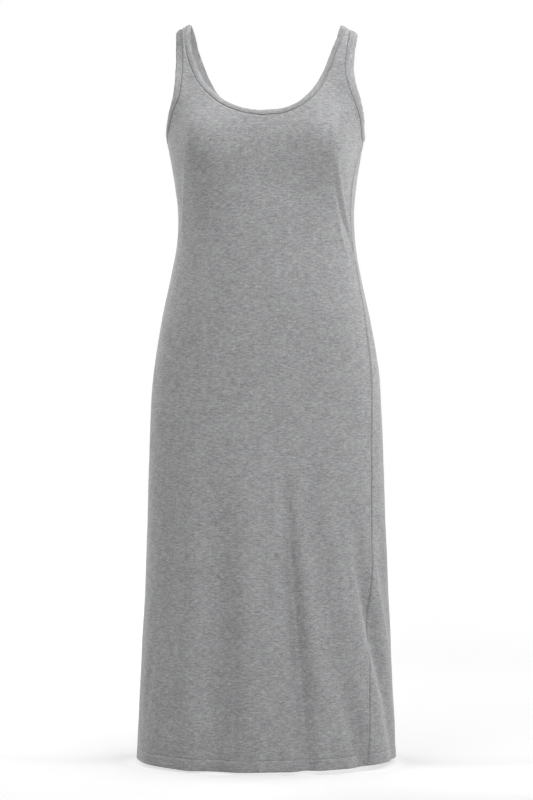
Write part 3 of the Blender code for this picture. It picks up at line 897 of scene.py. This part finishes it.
# One stitch: rings of sides along it, arched and thinned as circles are, with a point at each end.
def stitchShape():
    sides, rings = stitch["sides"], stitch["rings"]
    half = stitch["length"] / 2
    ends = np.linspace(-1.0, 1.0, rings + 2)[1:-1]
    thin = np.sqrt(1 - (ends * stitch["taper"]) ** 2)
    turns = np.arange(sides) * 2 * np.pi / sides
    ring = np.stack([np.zeros(sides), np.cos(turns), np.sin(turns)], axis=-1) * stitch["radius"]
    points = ring[None] * thin[:, None, None]
    points[..., 0] += ends[:, None] * half
    points[..., 2] += stitch["arch"] * (1 - ends[:, None] ** 2)
    points = np.concatenate([points.reshape(-1, 3), [[-half, 0, 0], [half, 0, 0]]])
    index = np.arange(sides * rings).reshape(rings, sides)
    index = np.concatenate([index, index[:, :1]], axis=1)
    tip = np.full(sides, sides * rings)
    first = np.stack([index[0, 1:], index[0, :-1], tip], axis=-1)
    last = np.stack([index[-1, :-1], index[-1, 1:], tip + 1], axis=-1)
    return points, gridFaces(index)[:, ::-1], np.concatenate([first, last])


# A row of stitches, each turned to its own ways along and up.
def makeStitches(name, centres, along, up, material):
    shape, quads, tips = stitchShape()
    up = squareTo(along, up)
    frames = np.stack([along, np.cross(up, along), up], axis=1)
    points = centres[:, None] + shape @ frames
    shifts = np.arange(len(centres))[:, None, None] * len(shape)
    mesh = bpy.data.meshes.new(name)
    faces = (quads + shifts).reshape(-1, 4).tolist() + (tips + shifts).reshape(-1, 3).tolist()
    mesh.from_pydata(points.reshape(-1, 3).tolist(), [], faces)
    mesh.shade_smooth()
    mesh.materials.append(material)
    return placed(name, mesh)


hemStitching = dict(steps=1200, feelerTurn=0.1, endGap=0.4)


def hemStitchLevel(turn):
    return smooth(hemLine["turn"], hemLine["level"], turn) + cloth["hemHeight"]


# Stitches evenly along the hem, from one side seam to the other.
def hemStitches(name, startTurn, endTurn, material):
    gap = hemStitching["endGap"]
    turn = np.linspace(startTurn + gap, endTurn - gap, hemStitching["steps"])
    travelled = travelledAlong(clothPoint(turn, hemStitchLevel(turn), creased=True))
    count = int(travelled[-1] / stitch["pitch"])
    turn = np.interp((np.arange(count) + 0.5) * travelled[-1] / count, travelled, turn)
    level = hemStitchLevel(turn)
    along = unit(sidewaysAt(turn, level, hemStitching["feelerTurn"], True))
    up = squareTo(along, outwardAt(turn, level, creased=True))
    lift = hemRelief(np.array([cloth["hemHeight"]]))[0] - stitch["sunk"]
    centres = clothPoint(turn, level, creased=True) + up * lift
    return makeStitches(name, centres, along, up, material)


# Stitches evenly round a strip, on its outer face.
def bindingStitches(name, branches, strip, material):
    foot, along, stripOut, stripUp, places, length = stripPlaces(branches, strip)
    height = np.interp(stitchShare, *bindingSection[:outerRows].T)
    line = foot + stripOut * stitchShare * strip["width"] + stripUp * height
    count = int(length / stitch["pitch"])
    at = np.linspace(0.0, length, count, endpoint=False)
    centres, along, up = (
        readAt(at, places, part, period=length) for part in (line, along, stripUp)
    )
    return makeStitches(name, centres, unit(along), up, material)


# A node with its settings made and its inputs filled: a socket is linked, a value is set. An input
# is given by its name, or by its number after a low line.
def addNode(tree, kind, settings=None, **inputs):
    node = tree.nodes.new(kind)
    for setting, value in (settings or {}).items():
        setattr(node, setting, value)
    for socket, value in inputs.items():
        target = node.inputs[int(socket[1:])] if socket[1:].isdigit() else node.inputs[socket]
        if isinstance(value, bpy.types.NodeSocket):
            tree.links.new(value, target)
        else:
            target.default_value = value
    return node


def math(tree, operation, a, b=0.0, c=0.0):
    return addNode(tree, "ShaderNodeMath", {"operation": operation}, _0=a, _1=b, _2=c).outputs[0]


def scaled(tree, vector, factors):
    settings = {"operation": "MULTIPLY"}
    return addNode(tree, "ShaderNodeVectorMath", settings, _0=vector, _1=factors).outputs[0]


def noise(tree, vector, detail, roughness):
    settings = {"noise_dimensions": "2D"}
    inputs = {"Vector": vector, "Scale": 1.0, "Detail": detail, "Roughness": roughness}
    return addNode(tree, "ShaderNodeTexNoise", settings, **inputs).outputs["Fac"]


# 0 under low and 1 over high, with a soft step between.
def between(tree, value, low, high):
    settings = {"interpolation_type": "SMOOTHSTEP"}
    inputs = {"Value": value, "From Min": low, "From Max": high}
    return addNode(tree, "ShaderNodeMapRange", settings, **inputs).outputs[0]


def lengthOf(tree, vector):
    settings = {"operation": "LENGTH"}
    return addNode(tree, "ShaderNodeVectorMath", settings, _0=vector).outputs["Value"]


# From a to b as the share goes from 0 to 1.
def blend(tree, share, a, b):
    return addNode(tree, "ShaderNodeMix", {"data_type": "FLOAT"}, _0=share, _2=a, _3=b).outputs[0]


def newMaterial(name):
    material = bpy.data.materials.new(name)
    material.use_nodes = True
    return material, material.node_tree, material.node_tree.nodes["Principled BSDF"]


# Heathered jersey: slubs of paler and darker yarn lie across the cloth, short and thin, with a few
# stray fibres, over broad soft patches. Each layer has its scales across and up the cloth, its
# detail and roughness, and its share of the shade.
heather = dict(
    slubs=(300.0, 540.0, 2.0, 0.6, 0.70),
    longSlubs=(105.0, 360.0, 1.0, 0.5, 0.55),
    clouds=(48.0, 90.0, 1.0, 0.5, 0.24),
    patches=(16.0, 22.0, 2.0, 0.5, 0.14),
    darkFibres=(210.0, 900.0, 0.0, 0.5, -0.17),
    paleFibres=(150.0, 820.0, 0.0, 0.5, 0.17),
    fibreStep=(0.60, 0.74),
    roughness=(0.16, 0.80),  # times the slubs, and added
)
knit = dict(
    loopWidth=0.00092,
    loopHeight=0.00074,
    slant=0.6,  # how far a loop's sides slope, in courses
    column=0.9,
    course=0.35,
    slub=1.2,
    bumpStrength=0.6,
    bumpDistance=0.00012,
    specular=0.25,
    sheen=0.18,
    sheenRoughness=0.5,
)


# The yarn's colour times (1 + contrast * shade) and (1 + tone). The height is the knit's loops:
# v-shaped courses sin(2 pi (course + slant * side)) on rounded columns, side from 0 to 1.
def makeHeatherGroup():
    group = bpy.data.node_groups.new("heatheredJersey", "ShaderNodeTree")
    for name, way, kind in (
        ("Lengths", "INPUT", "Vector"),
        ("Yarn", "INPUT", "Color"),
        ("Contrast", "INPUT", "Float"),
        ("Tone", "INPUT", "Float"),
        ("Colour", "OUTPUT", "Color"),
        ("Roughness", "OUTPUT", "Float"),
        ("Height", "OUTPUT", "Float"),
    ):
        group.interface.new_socket(name, in_out=way, socket_type="NodeSocket" + kind)
    given = group.nodes.new("NodeGroupInput")
    made = group.nodes.new("NodeGroupOutput")
    lengths = given.outputs["Lengths"]

    shade, yarns = 0.0, {}
    for layer in ("slubs", "longSlubs", "clouds", "patches", "darkFibres", "paleFibres"):
        across, up, detail, roughness, share = heather[layer]
        yarns[layer] = noise(group, scaled(group, lengths, (across, up, 1.0)), detail, roughness)
        if layer.endswith("Fibres"):
            part = between(group, yarns[layer], *heather["fibreStep"])
        else:
            part = math(group, "SUBTRACT", yarns[layer], 0.5)
        shade = math(group, "MULTIPLY_ADD", part, share, shade)
    slubs = yarns["slubs"]
    shade = math(group, "MULTIPLY_ADD", shade, given.outputs["Contrast"], 1.0)
    shade = math(group, "MULTIPLY", shade, math(group, "ADD", given.outputs["Tone"], 1.0))
    settings = {"operation": "SCALE"}
    colour = addNode(group, "ShaderNodeVectorMath", settings, _0=given.outputs["Yarn"])
    group.links.new(shade, colour.inputs["Scale"])
    group.links.new(colour.outputs[0], made.inputs["Colour"])
    rough = math(group, "MULTIPLY_ADD", slubs, *heather["roughness"])
    group.links.new(rough, made.inputs["Roughness"])

    split = addNode(group, "ShaderNodeSeparateXYZ", _0=lengths)
    column = math(group, "DIVIDE", split.outputs[0], knit["loopWidth"])
    course = math(group, "DIVIDE", split.outputs[1], knit["loopHeight"])
    side = math(group, "MULTIPLY", math(group, "PINGPONG", column, 0.5), 2.0)
    loop = math(group, "MULTIPLY_ADD", side, knit["slant"], course)
    loop = math(group, "SINE", math(group, "MULTIPLY", loop, 2 * np.pi))
    height = math(group, "MULTIPLY", slubs, knit["slub"])
    height = math(group, "MULTIPLY_ADD", loop, knit["course"], height)
    height = math(group, "MULTIPLY_ADD", side, knit["column"], height)
    group.links.new(height, made.inputs["Height"])
    return group


def makeJersey(name, group, yarn, contrast):
    material, tree, shader = newMaterial(name)
    jersey = tree.nodes.new("ShaderNodeGroup")
    jersey.node_tree = group
    jersey.inputs["Yarn"].default_value = (*yarn, 1.0)
    jersey.inputs["Contrast"].default_value = contrast
    lengths = addNode(tree, "ShaderNodeUVMap", {"uv_map": "clothLengths"})
    tone = addNode(tree, "ShaderNodeAttribute", {"attribute_name": "tone"})
    strength, distance = knit["bumpStrength"], knit["bumpDistance"]
    bump = addNode(tree, "ShaderNodeBump", None, Strength=strength, Distance=distance)
    for start, end in (
        (lengths.outputs[0], jersey.inputs["Lengths"]),
        (tone.outputs["Fac"], jersey.inputs["Tone"]),
        (jersey.outputs["Height"], bump.inputs["Height"]),
        (jersey.outputs["Colour"], shader.inputs["Base Color"]),
        (jersey.outputs["Roughness"], shader.inputs["Roughness"]),
        (bump.outputs[0], shader.inputs["Normal"]),
    ):
        tree.links.new(start, end)
    shader.inputs["Specular IOR Level"].default_value = knit["specular"]
    shader.inputs["Sheen Weight"].default_value = knit["sheen"]
    shader.inputs["Sheen Roughness"].default_value = knit["sheenRoughness"]
    return material


threadLook = dict(
    fineScale=1400.0,
    fineShade=0.5,
    broadScale=160.0,
    broadShade=0.25,
    leastShade=0.62,
    bumpStrength=0.5,
    bumpDistance=0.0001,
    roughness=0.6,
)


# Thread: its colour times a fine and a broad noise, and the fine one roughens it.
def makeThread(name, colour):
    look = threadLook
    material, tree, shader = newMaterial(name)
    place = addNode(tree, "ShaderNodeTexCoord").outputs["Object"]
    fine, broad = (
        addNode(tree, "ShaderNodeTexNoise", None, Vector=place, Scale=scale, Detail=detail)
        for scale, detail in ((look["fineScale"], 1.0), (look["broadScale"], 0.0))
    )
    shade = math(tree, "MULTIPLY_ADD", fine.outputs["Fac"], look["fineShade"], look["leastShade"])
    shade = math(tree, "MULTIPLY_ADD", broad.outputs["Fac"], look["broadShade"], shade)
    tint = addNode(tree, "ShaderNodeVectorMath", {"operation": "SCALE"}, _0=colour)
    tree.links.new(shade, tint.inputs["Scale"])
    tree.links.new(tint.outputs[0], shader.inputs["Base Color"])
    strength, distance = look["bumpStrength"], look["bumpDistance"]
    bump = addNode(tree, "ShaderNodeBump", None, Strength=strength, Distance=distance)
    tree.links.new(fine.outputs["Fac"], bump.inputs["Height"])
    tree.links.new(bump.outputs[0], shader.inputs["Normal"])
    shader.inputs["Roughness"].default_value = look["roughness"]
    return material


heatherGroup = makeHeatherGroup()
frontJersey = makeJersey("frontJersey", heatherGroup, (0.3170, 0.3185, 0.3235), 1.0)
backJersey = makeJersey("backJersey", heatherGroup, (0.3130, 0.3145, 0.3195), 1.0)
bindingJersey = makeJersey("bindingJersey", heatherGroup, (0.3190, 0.3205, 0.3255), 0.9)
thread = makeThread("greyThread", (0.300, 0.302, 0.310))
print("materials made")

frontRight = ("right", armholeFrontRight, neckFrontRight)
frontLeft = ("left", armholeFrontLeft, neckFrontLeft)
backRight = ("right", armholeBackRight, neckBackRight)
backLeft = ("left", armholeBackLeft, neckBackLeft)

frontPanel = makePanel("frontPanel", frontRight, frontLeft, 90.0, -1, frontJersey)
backPanel = makePanel("backPanel", backLeft, backRight, 270.0, 1, backJersey)
print("panels made")

neckLoop = (
    (neckFrontRight, True), (neckBackRight, False), (neckBackLeft, True), (neckFrontLeft, False),
)
rightLoop = ((armholeFrontRight, True), (armholeBackRight, False))
leftLoop = ((armholeFrontLeft, True), (armholeBackLeft, False))
neckBinding, armholeBindingRight, armholeBindingLeft = (
    makeBinding(name, loop, strip, phase, bindingJersey)
    for name, loop, strip, phase in (
        ("neckBinding", neckLoop, neckStrip, 0.5),
        ("armholeBindingRight", rightLoop, armholeStrip, 1.9),
        ("armholeBindingLeft", leftLoop, leftArmholeStrip, 3.1),
    )
)
print("bindings made")

rightHem, leftHem = sideSeams["right"][0], sideSeams["left"][0]
hemStitchesFront = hemStitches("hemStitchesFront", rightHem, leftHem, thread)
hemStitchesBack = hemStitches("hemStitchesBack", leftHem, rightHem + 360.0, thread)
neckStitches, armholeStitchesRight, armholeStitchesLeft = (
    bindingStitches(name, loop, strip, thread)
    for name, loop, strip in (
        ("neckStitches", neckLoop, neckStrip),
        ("armholeStitchesRight", rightLoop, armholeStrip),
        ("armholeStitchesLeft", leftLoop, leftArmholeStrip),
    )
)
print("stitches made")

for piece, node in (
    (frontPanel, "front_panel"),
    (backPanel, "back_panel"),
    (neckBinding, "neck_binding"),
    (armholeBindingRight, "armhole_binding_right"),
    (armholeBindingLeft, "armhole_binding_left"),
):
    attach(piece, "root")
    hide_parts(node)
for piece, node in (
    (hemStitchesFront, "front_panel"),
    (hemStitchesBack, "back_panel"),
    (neckStitches, "neck_binding"),
    (armholeStitchesRight, "armhole_binding_right"),
    (armholeStitchesLeft, "armhole_binding_left"),
):
    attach(piece, "root")

studio = dict(
    floorLevel=-1.1575,
    floorSize=60.0,
    floorShade=0.42,
    floorBounce=0.30,  # how much light it gives back to the cloth
    sideGlow=(0.33, 0.24),  # the floor's own glow beside the dress, at its left and right
    sideReach=(-0.05, 0.22),
    frontGlow=0.42,  # in front of it
    frontReach=(0.02, -0.10),
    frontEnd=(-0.44, -0.16),
    farGlow=1.0,  # and far from it
    farReach=(1.4, 4.6),
    underGlow=0.38,  # added in what the hem shuts in
    underReach=(1.14, 0.85),  # in shares of the hem's half width and half depth
    hemHalves=(0.205, 0.145),
    aim=(0.0, 0.0, -0.55),
    lightDistance=3.0,
    boxSize=1.6,
)
white = (1.0, 1.0, 1.0, 1.0)


def grey(shade):
    return (shade, shade, shade, 1.0)


# A softbox that faces the dress, by where it stands round it.
def addSoftbox(name, azimuth, elevation, power):
    light = bpy.data.lights.new(name, "AREA")
    light.shape = "RECTANGLE"
    light.size = light.size_y = studio["boxSize"]
    light.energy = power
    a, e = np.radians((azimuth, elevation))
    away = np.array((np.sin(a) * np.cos(e), -np.cos(a) * np.cos(e), np.sin(e)))
    lamp = placed(name, light)
    lamp.location = np.array(studio["aim"]) + studio["lightDistance"] * away
    lamp.rotation_euler = (np.pi / 2 - e, 0.0, a)


# What the camera sees and what lights the cloth, told apart by the kind of ray.
def seenAndLit(tree, seen, lit, output):
    isSeen = tree.nodes.new("ShaderNodeLightPath").outputs["Is Camera Ray"]
    mix = addNode(tree, "ShaderNodeMixShader", None, _0=isSeen, _1=lit, _2=seen)
    tree.links.new(mix.outputs[0], output.inputs["Surface"])


# The floor is white to look at, with soft shadows, and gives little light back to the cloth. Its
# glow evens out the shade that the dress and the softboxes leave on it.
def makeFloor():
    half = studio["floorSize"] / 2
    corners = [(-half, -half, 0), (half, -half, 0), (half, half, 0), (-half, half, 0)]
    mesh = bpy.data.meshes.new("studioFloor")
    mesh.from_pydata(corners, [], [(0, 1, 2, 3)])
    material, tree, seen = newMaterial("whiteFloor")
    seen.inputs["Base Color"].default_value = grey(studio["floorShade"])
    seen.inputs["Roughness"].default_value = 1.0
    seen.inputs["Specular IOR Level"].default_value = 0.0
    seen.inputs["Emission Color"].default_value = white
    place = addNode(tree, "ShaderNodeTexCoord").outputs["Object"]
    split = addNode(tree, "ShaderNodeSeparateXYZ", _0=place)
    x, y = split.outputs[0], split.outputs[1]
    hemShares = scaled(tree, place, (*[1 / half for half in studio["hemHalves"]], 0.0))
    far = between(tree, lengthOf(tree, place), *studio["farReach"])
    under = between(tree, lengthOf(tree, hemShares), *studio["underReach"])
    inFront, ending = (between(tree, y, *studio[key]) for key in ("frontReach", "frontEnd"))
    inFront = math(tree, "MULTIPLY", inFront, ending)
    glow = blend(tree, between(tree, x, *studio["sideReach"]), *studio["sideGlow"])
    glow = blend(tree, inFront, glow, studio["frontGlow"])
    glow = blend(tree, far, glow, studio["farGlow"])
    glow = math(tree, "MULTIPLY_ADD", under, studio["underGlow"], glow)
    tree.links.new(glow, seen.inputs["Emission Strength"])
    bounce = addNode(tree, "ShaderNodeBsdfDiffuse", None, Color=grey(studio["floorBounce"]))
    seenAndLit(tree, seen.outputs[0], bounce.outputs[0], tree.nodes["Material Output"])
    mesh.materials.append(material)
    floor = placed("studioFloor", mesh)
    floor.location.z = studio["floorLevel"]


# The sky behind is plain white to look at and gives no light.
def makeSky():
    world = bpy.data.worlds.new("studioSky")
    world.use_nodes = True
    tree = world.node_tree
    tree.nodes.clear()
    seen, lit = (
        addNode(tree, "ShaderNodeBackground", None, Color=white, Strength=strength).outputs[0]
        for strength in (1.0, 0.0)
    )
    seenAndLit(tree, seen, lit, tree.nodes.new("ShaderNodeOutputWorld"))
    bpy.context.scene.world = world


makeFloor()
makeSky()
# Softboxes by where they stand round the dress, 0 in front and 90 to the right, their height in
# degrees and power.
for name, azimuth, elevation, power in (
    ("rightFrontBox", 30.0, 20.0, 43.0),
    ("rightFrontTopBox", 30.0, 50.0, 9.0),
    ("leftFrontBox", -30.0, 20.0, 29.5),
    ("rightTopBox", 80.0, 40.0, 22.5),
    ("rightBackBox", 115.0, 18.0, 35.0),
    ("rightBackTopBox", 120.0, 45.0, 26.0),
    ("leftBackBox", -115.0, 26.0, 40.0),
    ("leftRimBox", -120.0, 0.0, 15.0),
    ("topBox", 0.0, 89.0, 54.0),
    ("backBox", 180.0, 35.0, 24.0),
    ("backRightBox", 140.0, 10.0, 17.5),
    ("backLeftBox", -140.0, 10.0, 42.0),
):
    addSoftbox(name, azimuth, elevation, power)

# The camera stands square on, a little to the right, level with the middle of the skirt.
view = dict(
    distance=3.9,
    azimuth=np.radians(4.0),
    height=-0.5886,
    aside=0.00095,
    lens=111.43,
    sensor=36.0,
    farthest=50.0,
)
cameraData = bpy.data.cameras.new("camera")
cameraData.lens = view["lens"]
cameraData.sensor_width = view["sensor"]
cameraData.clip_end = view["farthest"]
camera = placed("camera", cameraData)
c, s = np.cos(view["azimuth"]), np.sin(view["azimuth"])
camera.location = (
    view["distance"] * s + view["aside"] * c,
    -view["distance"] * c + view["aside"] * s,
    view["height"],
)
camera.rotation_euler = (np.pi / 2, 0.0, view["azimuth"])
bpy.context.scene.camera = camera
bpy.context.scene.view_settings.view_transform = "Standard"
print("studio made")
